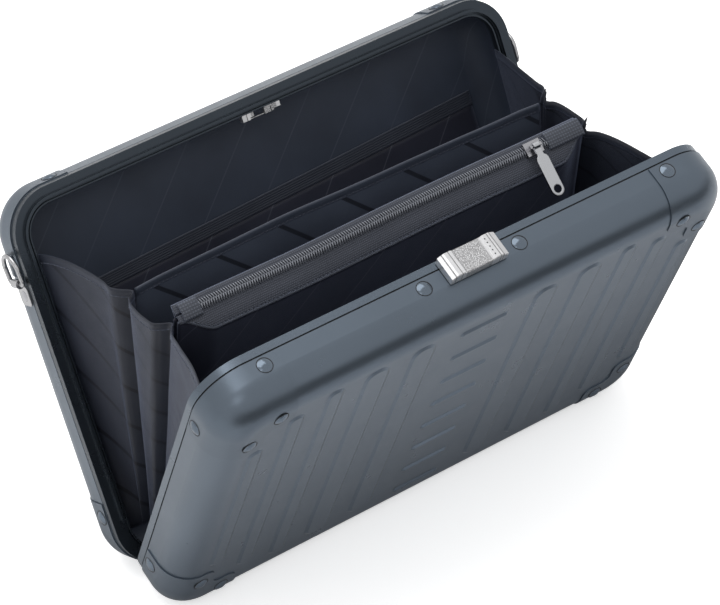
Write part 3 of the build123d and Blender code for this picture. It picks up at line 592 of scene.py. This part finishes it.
def make_rivet_shadow_rings():
    """Dark rings of painted shadow that show as a fine line round each rivet head, left out beside the strap
    rings.
    """
    face = SHELL_DEPTH + CAP_RISE
    for side, half in ((REAR, "rear"), (FRONT, "front")):
        out = at(side, 0, 0, 1) - at(side, 0, 0, 0)
        up = at(side, 0, 1, 0) - at(side, 0, 0, 0)
        along = Vector((1, 0, 0))
        shadow_rings = []
        for hand in (-1, 1):
            near_x, far_x = hand * (CASE_WIDTH / 2 - RIVET_NEAR), hand * (CASE_WIDTH / 2 - RIVET_FAR)
            side_x, flank_x = hand * (CASE_WIDTH / 2 - RIVET_SIDE), hand * (CASE_WIDTH / 2 + CAP_RISE)
            for end in (-1, 1):
                near_v, far_v, side_v = (
                    CASE_HEIGHT - reach if end > 0 else reach for reach in (RIVET_NEAR, RIVET_FAR, RIVET_SIDE)
                )
                edge_v = CASE_HEIGHT + CAP_RISE if end > 0 else -CAP_RISE
                shadow_rings.append((at(side, near_x, far_v, face), along, up))
                shadow_rings.append((at(side, far_x, near_v, face), along, up))
                shadow_rings.append((at(side, side_x, edge_v, RIVET_N), along, out))
                if side == FRONT or end < 0:
                    shadow_rings.append((at(side, flank_x, side_v, RIVET_N), up, out))
            if side == FRONT:
                centre = at(side, hand * LATCH_RIVET_X, CASE_HEIGHT + LATCH_PLATE_RISE, RIVET_N)
                shadow_rings.append((centre, along, out))
        turns = [math.pi * i / 16 for i in range(33)]
        lines = [
            [centre + (a * math.cos(t) + b * math.sin(t)) * SHADOW_RING_RADIUS for t in turns]
            for centre, a, b in shadow_rings
        ]
        # Dark rings of painted shadow round the rivet heads
        shadow_ring = tube_object(f"rivet_shadow_rings_{half}", lines, SHADOW_RING_THICK, rubber_and_shadow_paint, sides=6, closed_ends=False)
        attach(shadow_ring, f"{half}_half")


make_rivet_shadow_rings()
make_lining(REAR, "rear_lining_cloth", "rear_half", 1.0)
make_lining(FRONT, "front_lining_cloth", "front_half", 4.0)


# ---- Wall pocket and its elastic ----
WALL_HALF, WALL_FOOT, ELASTIC_HEIGHT = 162.0, 20.3, 9.0
WALL_N = 31.9


def wall_top(x):
    """Height of the wall pocket's edge, which climbs towards the right."""
    return 173.4 + 12.5 * ((x + WALL_HALF) / (2 * WALL_HALF)) ** 0.9


def wall_point(x, t, out):
    """Point of the wall pocket: t from its foot to its edge, out towards the front, hanging off the wall."""
    top = wall_top(x)
    v = lerp(WALL_FOOT, top, t)
    across = max(0.0, 1 - (x / WALL_HALF) ** 2)
    bow = 1.6 * across * t * t + 0.35 * ripple(x / 45, v / 45, seed=2.0) * across
    return at(REAR, x, v, WALL_N - bow - out)


def make_wall_pocket():
    height = wall_top(0) - WALL_FOOT
    seam = 1 - (ELASTIC_HEIGHT - 1) / height
    rows = [[wall_point(x, t, 0.0) for x in span(-WALL_HALF, WALL_HALF, 90)] for t in span(0.0, seam, 36)]
    pocket = sheet_object("wall_pocket_cloth", rows, pocket_cloth, thick=0.6)
    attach(pocket, "rear_half")
    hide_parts("wall_pocket")

    ribs = 6
    rows = []
    for i in range(ribs * 6 + 1):
        t = i / (ribs * 6)
        rib = 0.32 * abs(math.sin(math.pi * ribs * t))
        row = []
        for x in span(-WALL_HALF, WALL_HALF, 220):
            gather = 0.1 * math.sin(x * 1.9 + 0.8 * math.sin(x * 0.35))
            row.append(wall_point(x, 1 - ELASTIC_HEIGHT * (1 - t) / height, 0.7 + rib + gather * (0.4 + rib)))
        rows.append(row)
    elastic = sheet_object("wall_pocket_elastic_band", rows, elastic_cloth, thick=0.5)
    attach(elastic, "rear_half")
    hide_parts("wall_pocket_elastic")
    edge = [wall_point(x, 1.0, 0.9) for x in span(-WALL_HALF, WALL_HALF, 120)]
    cord = tube_object("wall_pocket_edge", [edge], 0.34, thread_paint, cloth=True)
    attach(cord, "rear_half")


# ---- Divider ----
DIVIDER_THICK, DIVIDER_FOOT = 1.25, 2.0  # half its thickness, and its lowest height


def divider_edge(x):
    """Height of the divider's top edge, which dips towards its sewn corners."""
    t = x / DIVIDER_HALF
    corners = 6.0 * max(0.0, abs(t) - 0.9)
    return DIVIDER_TOP - 0.4 - 2.6 * t * t - corners - 1.0 * t + 0.5 * ripple(x / 40, seed=6.0)


def divider_bow(x, r):
    t = r / DIVIDER_TOP
    return 1.1 * ripple(x / 75, r / 90, seed=3.0) * t + 0.5 * math.sin(x / 38) * t * t


def make_divider():
    columns = span(-DIVIDER_HALF, DIVIDER_HALF, 130)
    steps = [i / 45 for i in range(46)]
    profile = [(t, DIVIDER_THICK, 1) for t in steps]
    profile += [(1.0, DIVIDER_THICK * 0.7, 0.35), (1.0, 0.0, 0.0), (1.0, -DIVIDER_THICK * 0.7, 0.35)]
    profile += [(1 - t, -DIVIDER_THICK, 1) for t in steps]
    rows = []
    for t, w, drop in profile:
        row = []
        for x in columns:
            top = divider_edge(x)
            r = lerp(DIVIDER_FOOT, top - 0.9, t) + (0.9 * (1 - drop) if drop < 1 else 0.0)
            end = smooth((DIVIDER_HALF - abs(x)) / 3.0)
            row.append(DIVIDER.point(x, r, w * (0.35 + 0.65 * end) * (1 - 0.45 * t**6) + divider_bow(x, r)))
        rows.append(row)
    divider = sheet_object("divider_panel", rows, divider_cloth, thick=0.0)
    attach(divider, "divider_body")
    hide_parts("divider")

    binding_rows = []
    for step in range(9):
        turn = math.pi * step / 8
        row = []
        for x in columns:
            top = divider_edge(x)
            down = 4.6 if step in (0, 8) else 0.0
            w = (0.95 if down == 0 else 1.1) * math.cos(turn)
            r = top - 0.9 + 1.05 * math.sin(turn) - down
            row.append(DIVIDER.point(x, r, w + divider_bow(x, r)))
        binding_rows.append(row)
    binding = sheet_object("divider_binding", binding_rows, binding_cloth, thick=0.2)
    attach(binding, "divider_body")
    crest = [DIVIDER.point(x, divider_edge(x) + 0.2, divider_bow(x, divider_edge(x))) for x in columns]
    cord = tube_object("divider_edge", [crest], 0.3, thread_paint, cloth=True)
    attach(cord, "divider_body")
    for sign, name in ((1, "front"), (-1, "back")):
        line = []
        for x in span(-DIVIDER_HALF + 2, DIVIDER_HALF - 2, 130):
            r = divider_edge(x) - 4.4
            line.append(DIVIDER.point(x, r, sign * DIVIDER_THICK + divider_bow(x, r)))
        row = stitch_row(f"divider_stitches_{name}", line, radius=0.14)
        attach(row, "divider_body")


# ---- Zip pocket ----
def pocket_front_top(x):
    """Height and depth of the front panel's piped top edge, drawn to the corners at its ends."""
    end = smooth((abs(x) - 128.0) / 22.0)
    w, r = POCKET_SHOULDER
    return lerp(r + zip_wave(x) - 0.8 * math.sin((x + 150) / 300 * math.pi), r + 7.5, end), lerp(w, 3.0, end)


def pocket_rear_top(x):
    end = smooth((abs(x) - 132.0) / 18.0)
    w, r = POCKET_BACK_TOP
    return lerp(r + zip_wave(x), r + 1.5, end), lerp(w, -1.0, end)


def make_pocket_panels():
    for name, sign, top, foot_w, node in (
        ("pocket_front_cloth", 1, pocket_front_top, 2.0, "pocket_front_panel"),
        ("pocket_rear_cloth", -1, pocket_rear_top, -0.6, "pocket_rear_panel"),
    ):
        rows = []
        for i in range(56):
            t = i / 55
            row = []
            for x in span(-POCKET_HALF, POCKET_HALF, 120):
                r_top, w_top = top(x)
                hang = math.sin(math.pi * t) * (0.6 + 0.9 * ripple(x / 52, t * 2.2, seed=7.0 + sign))
                hang += 0.7 * ripple(x / 20, t * 5, seed=9.0) * t * (1 - t) * 3
                inner = smooth((POCKET_HALF - abs(x)) / 12.0)
                row.append(POCKET.point(x, lerp(3.0, r_top, t), lerp(foot_w, w_top, t) + sign * hang * inner))
            rows.append(row)
        panel = sheet_object(name, rows, pocket_cloth, thick=0.6)
        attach(panel, "zip_pocket_body")
        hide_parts(node)


def make_tapes():
    columns = span(-POCKET_HALF + 1, POCKET_HALF - 1, 140)
    rows = []
    for a in (0.5, 1.5, 3.0, 4.4):
        rows.append([zip_point(x, a, -0.1) for x in columns])
    flat_r, flat_w = zip_rw(5.4, -0.5)
    for t in (0.0, 0.2, 0.4, 0.6, 0.8, 1.0):
        row = []
        for x in columns:
            r_top, w_top = pocket_front_top(x)
            puff = 0.7 * math.sin(math.pi * t) * (1 + 0.3 * ripple(x / 30, seed=11.0))
            row.append(POCKET.point(x, lerp(flat_r + zip_wave(x), r_top, t), lerp(flat_w, w_top, t) + puff))
        rows.append(row)
    tape = sheet_object("zip_tape_front_cloth", rows, tape_cloth, thick=0.7)
    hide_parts("zip_tape_front")
    rows = []
    for a in (-0.5, -1.6, -3.2, -4.8, -6.0):
        rows.append([zip_point(x, a, -0.1) for x in columns])
    edge_r, edge_w = zip_rw(-6.7, -0.5)
    for t in (0.0, 0.5, 1.0):
        row = []
        for x in columns:
            r_top, w_top = pocket_rear_top(x)
            row.append(POCKET.point(x, lerp(edge_r + zip_wave(x), r_top, t), lerp(edge_w, w_top, t)))
        rows.append(row)
    back = sheet_object("zip_tape_rear_cloth", rows, tape_cloth, thick=0.7)
    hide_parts("zip_tape_rear")
    piping = []
    for x in span(-POCKET_HALF, POCKET_HALF, 160):
        r, w = pocket_front_top(x)
        piping.append(POCKET.point(x, r + 0.2, w + 0.5))
    cord = tube_object("pocket_piping", [piping], 0.75, webbing_cloth, cloth=True)
    line = []
    for x in span(-140, 140, 140):
        r, w = pocket_front_top(x)
        line.append(POCKET.point(x, r + 1.9, w + 0.35))
    stitches = stitch_row("pocket_stitches", line, pitch=2.8, length=1.9, radius=0.18)
    for piece in (tape, back, cord, stitches):
        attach(piece, "zip_pocket_body")


TOOTH_PITCH = 1.7
TOOTH = (  # points of one turn of the coil: along, across and above the zip
    (-0.5, 3.3, 0.6), (-0.35, 2.9, 1.3), (0.0, 1.5, 1.7), (0.35, 0.1, 1.5), (0.5, -0.6, 1.0),
)


def make_teeth():
    """Two rows of coil teeth, meshed along the whole zip."""
    for name, sign in (("front", 1), ("rear", -1)):
        lines = []
        x = TEETH_LOW + (0.0 if sign > 0 else TOOTH_PITCH / 2)
        while x < TEETH_HIGH - 1:
            lines.append([zip_point(x + along, sign * across, above) for along, across, above in TOOTH])
            x += TOOTH_PITCH
        teeth = tube_object(f"zip_coil_{name}", lines, 0.44, coil_paint, sides=7)
        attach(teeth, "zip_pocket_body")
        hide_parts(f"zip_teeth_{name}")


def make_end_tabs():
    """Webbing sewn over each end of the zip; the left one stops short of the slider's reach."""
    ends = (("left", -POCKET_HALF + 4, TEETH_LOW + 0.5), ("right", TEETH_HIGH - 1, POCKET_HALF))
    for name, low, high in ends:
        rows = []
        for i in range(15):
            t = i / 14
            a = lerp(-5.6, 5.6, t)
            b = 0.75 + 1.15 * math.sin(math.pi * t) ** 0.6
            columns = span(low, high, 30)
            rows.append([zip_point(x, a, b + 0.12 * ripple(x / 6, a, seed=13.0)) for x in columns])
        tab = sheet_object(f"zip_end_tab_{name}_cloth", rows, webbing_cloth, thick=0.9)
        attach(tab, "zip_pocket_body")
        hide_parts(f"zip_end_tab_{name}")


# ---- Side gussets ----
# Stations across a folding wall from rear to front: x, y and z at its top, then x and y at its foot
GUSSET_STATIONS = (
    (173.0, 90.5, 201.0, 171.5, 21.1),
    (170.5, 82.0, 204.0, 169.5, 21.0),
    (167.0, 66.0, 207.5, 166.0, 20.6),
    (164.0, 48.0, 209.5, 163.5, 20.0),
    (162.4, 34.0, 210.2, 162.0, 19.2),
    (162.2, 26.5, 210.2, 162.0, 18.8),
    (160.0, 22.6, 209.8, 159.5, 18.4),
    (154.6, 18.6, 208.6, 154.4, 17.9),
    (152.4, 16.0, 208.0, 152.4, 17.4),
    (154.4, 13.4, 208.6, 154.2, 16.6),
    (159.0, 9.0, 209.2, 158.0, 15.2),
    (161.0, -1.0, 209.0, 160.0, 13.0),
    (161.2, -11.0, 208.8, 160.0, 10.5),
    (160.6, -17.6, 209.0, 159.6, 9.2),
    (157.6, -21.0, 209.0, 157.0, 8.4),
    (152.4, -24.2, 208.8, 152.2, 7.6),
    (151.8, -26.6, 209.0, 151.8, 6.8),
    (154.2, -29.6, 209.6, 154.0, 5.6),
    (158.4, -36.0, 210.6, 157.8, 3.0),
    (161.6, -50.0, 211.6, 161.0, -1.6),
    (165.0, -68.0, 210.6, 164.4, -6.0),
    (170.0, -84.0, 207.0, 169.6, -9.6),
    (173.0, -92.4, 203.4, 171.5, -11.1),
)
GUSSET_FOOT_Z = 27.0
EAR_STATIONS, EAR_SPREAD = (8.0, 15.5), 0.75  # where the hem is pinched, counted in stations
EAR_OUT, EAR_UP = 3.5, 6.5
HEM_ROWS = (  # height, out of the wall, raised
    (0.972, 0.45, 0.0), (0.98, 0.45, 0.0), (0.99, 0.45, 0.0), (1.0, 0.45, 0.0),
    (1.0, 0.0, 0.5), (0.985, -0.45, 0.0), (0.972, -0.45, 0.0),
)


def catmull(values, t):
    """Smooth curve through values at whole numbers of t."""
    i = max(0, min(int(t), len(values) - 2))
    f = t - i
    p0, p1, p2 = values[max(i - 1, 0)], values[i], values[i + 1]
    p3 = values[min(i + 2, len(values) - 1)]
    square, cube = 2 * p0 - 5 * p1 + 4 * p2 - p3, 3 * p1 - p0 - 3 * p2 + p3
    return 0.5 * (2 * p1 + (p2 - p0) * f + square * f**2 + cube * f**3)


def gusset_point(hand, s, t, out=0.0):
    """Point of a folding wall: s from the rear rim to the front rim, t from its foot to its top."""
    place = s * (len(GUSSET_STATIONS) - 1)
    xt, yt, zt, xb, yb = (catmull([row[k] for row in GUSSET_STATIONS], place) for k in range(5))
    seed = 20.0 + hand
    loose = math.sin(math.pi * min(1.0, max(0.0, s))) * (0.25 + 0.75 * t)
    crease = 1.0 * ripple(s * 9, t * 2.4, seed=seed) + 0.5 * ripple(s * 22, t * 6, seed=seed + 3)
    x = lerp(xb, xt, t) + crease * loose * 0.9 + out
    y = lerp(yb, yt, t) + 0.5 * ripple(s * 7, t * 4, seed=seed + 6) * loose
    ear = gusset_ear(hand, place) * t**14
    x += EAR_OUT * ear
    return Vector((hand * x, y, lerp(GUSSET_FOOT_Z, zt, t) + EAR_UP * ear))


def gusset_ear(hand, place):
    """How far the hem stands up where it is sewn to a panel's end on the right."""
    if hand < 0:
        return 0.0
    raised = sum(math.exp(-(((place - seam) / EAR_SPREAD) ** 2)) for seam in EAR_STATIONS)
    return raised * (1 + 0.35 * math.sin(place * 13) + 0.2 * math.sin(place * 31))


def make_gussets():
    for hand, hand_name in ((-1, "left"), (1, "right")):
        columns = [i / 220 for i in range(221)]
        heights = [i / 70 for i in range(71)]
        rows = [[gusset_point(hand, s, t) for s in columns] for t in heights]
        wall = sheet_object(f"gusset_{hand_name}", rows, gusset_cloth, thick=0.5)
        hem_rows = [
            [gusset_point(hand, s, t, out) + Vector((0, 0, raised)) for s in columns]
            for t, out, raised in HEM_ROWS
        ]
        hem = sheet_object(f"gusset_hem_{hand_name}", hem_rows, hem_cloth, thick=0.3)
        line = [gusset_point(hand, s, 0.974, out=0.75) for s in columns]
        stitches = stitch_row(f"gusset_stitches_{hand_name}", line)
        for piece in (wall, hem, stitches):
            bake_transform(piece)
        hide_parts(*[f"gusset_{part}_{hand_name}" for part in ("rear", "middle", "front")])


make_wall_pocket()
make_divider()
make_pocket_panels()
make_tapes()
make_teeth()
make_end_tabs()
make_gussets()


# ---- Stage and light ----
# In metres: the mirrored table has a painted shadow, darker round the case's foot, and ends in front of it
TABLE_FRONT, TABLE_DROP = -0.42, -0.0002
SHADE_Y, SHADE_MIDDLE_X, SHADE_X = (0.04, 0.142), 0.07, (0.24, 0.31)
STAGE_HALF = 6.0


def flat_square(name, low_y, material):
    mesh = bpy.data.meshes.new(name)
    half = STAGE_HALF
    corners = [(-half, low_y, 0), (half, low_y, 0), (half, half, 0), (-half, half, 0)]
    mesh.from_pydata(corners, [], [(0, 1, 2, 3)])
    piece = add_object(name, mesh, material)
    return piece


def make_stage():
    """A pale floor that the camera sees, and a table top that only reflections see."""
    paint = Paint("floor_paint", (0.93, 0.93, 0.93), 0.9)
    place = paint.place()
    paint.color(paint.mix(paint.noise(place, 3, 2), (0.92, 0.92, 0.92), (0.94, 0.94, 0.94)))
    paint.shader.inputs["Emission Color"].default_value = (1, 1, 1, 1)
    paint.shader.inputs["Emission Strength"].default_value = 0.5
    floor = flat_square("floor", -STAGE_HALF, paint.material)
    floor.visible_glossy = False
    paint = Paint("table_paint", (0.92, 0.92, 0.92), 0.9)
    parts = paint.node("ShaderNodeSeparateXYZ", [("Vector", paint.place())])
    # Painted shadow: the table is painted darker near and under the case, as the case's contact shadow seen
    # in reflections
    near_case = paint.remap(paint.math("ABSOLUTE", parts.outputs["Y"]), *SHADE_Y, 1.0, 0.0)
    shaded = paint.mix(near_case, (0.7, 0.71, 0.73), (0.15, 0.155, 0.165))
    under_case = paint.remap(paint.away(parts.outputs["X"], SHADE_MIDDLE_X), *SHADE_X, 1.0, 0.0)
    paint.color(paint.mix(under_case, (0.9, 0.9, 0.9), shaded))
    table = flat_square("floor_mirrored", TABLE_FRONT, paint.material)
    table.visible_camera = False
    table.visible_diffuse = False
    table.visible_shadow = False
    table.location.z = TABLE_DROP


class Sky:
    """World colour from its direction: a light tent with a dark opening on the viewer's side."""

    def __init__(self):
        world = bpy.data.worlds.new("studio")
        world.use_nodes = True
        bpy.context.scene.world = world
        self.tree = world.node_tree
        self.background = self.tree.nodes["Background"]
        self.place = self.tree.nodes.new("ShaderNodeTexCoord").outputs["Generated"]
        parts = self.tree.nodes.new("ShaderNodeSeparateXYZ")
        self.tree.links.new(self.place, parts.inputs["Vector"])
        self.height = parts.outputs["Z"]

    def dot(self, direction):
        made = self.tree.nodes.new("ShaderNodeVectorMath")
        made.operation = "DOT_PRODUCT"
        made.inputs[1].default_value = direction
        self.tree.links.new(self.place, made.inputs[0])
        return made.outputs["Value"]

    def step(self, value, low, high, to_low, to_high):
        made = self.tree.nodes.new("ShaderNodeMapRange")
        made.interpolation_type = "SMOOTHSTEP"
        for key, number in zip(("From Min", "From Max", "To Min", "To Max"), (low, high, to_low, to_high)):
            made.inputs[key].default_value = number
        self.tree.links.new(value, made.inputs["Value"])
        return made.outputs["Result"]

    def combine(self, operation, a, b):
        made = self.tree.nodes.new("ShaderNodeMath")
        made.operation = operation
        for socket, value in enumerate((a, b)):
            if isinstance(value, (int, float)):
                made.inputs[socket].default_value = value
            else:
                self.tree.links.new(value, made.inputs[socket])
        return made.outputs[0]


OPENING_WAY, OPENING_DEPTH, SKY_STRENGTH = (0.42, -0.91, 0.0), 0.85, 0.9  # the dark opening in the tent


def make_sky():
    sky = Sky()
    opening = sky.step(sky.dot(OPENING_WAY), 0.15, 0.55, 0.0, OPENING_DEPTH)
    above = sky.step(sky.height, -0.06, 0.1, 1.0, 0.0)
    below = sky.step(sky.height, -0.8, -0.62, 0.0, 1.0)
    dark = sky.combine("MULTIPLY", opening, sky.combine("MULTIPLY", above, below))
    level = sky.combine("SUBTRACT", 1.0, dark)
    color = sky.tree.nodes.new("ShaderNodeCombineColor")
    for socket in ("Red", "Green", "Blue"):
        sky.tree.links.new(level, color.inputs[socket])
    sky.tree.links.new(color.outputs["Color"], sky.background.inputs["Color"])
    sky.background.inputs["Strength"].default_value = SKY_STRENGTH


def area_light(name, place, target, size, energy):
    data = bpy.data.lights.new(name, "AREA")
    data.shape = "RECTANGLE"
    data.size, data.size_y = size
    data.energy = energy
    light = bpy.data.objects.new(name, data)
    light.location = place
    light.rotation_euler = (Vector(target) - Vector(place)).to_track_quat("-Z", "Y").to_euler()
    bpy.context.scene.collection.objects.link(light)


def make_lights():
    area_light("top_box", (-0.2, 0.6, 2.2), (0, 0, 0.1), (2.4, 1.8), 24)
    area_light("left_box", (-1.6, -1.4, 2.0), (0, 0, 0.1), (1.0, 1.0), 3.2)


make_stage()
make_sky()
make_lights()
bpy.context.scene.view_settings.view_transform = "Standard"
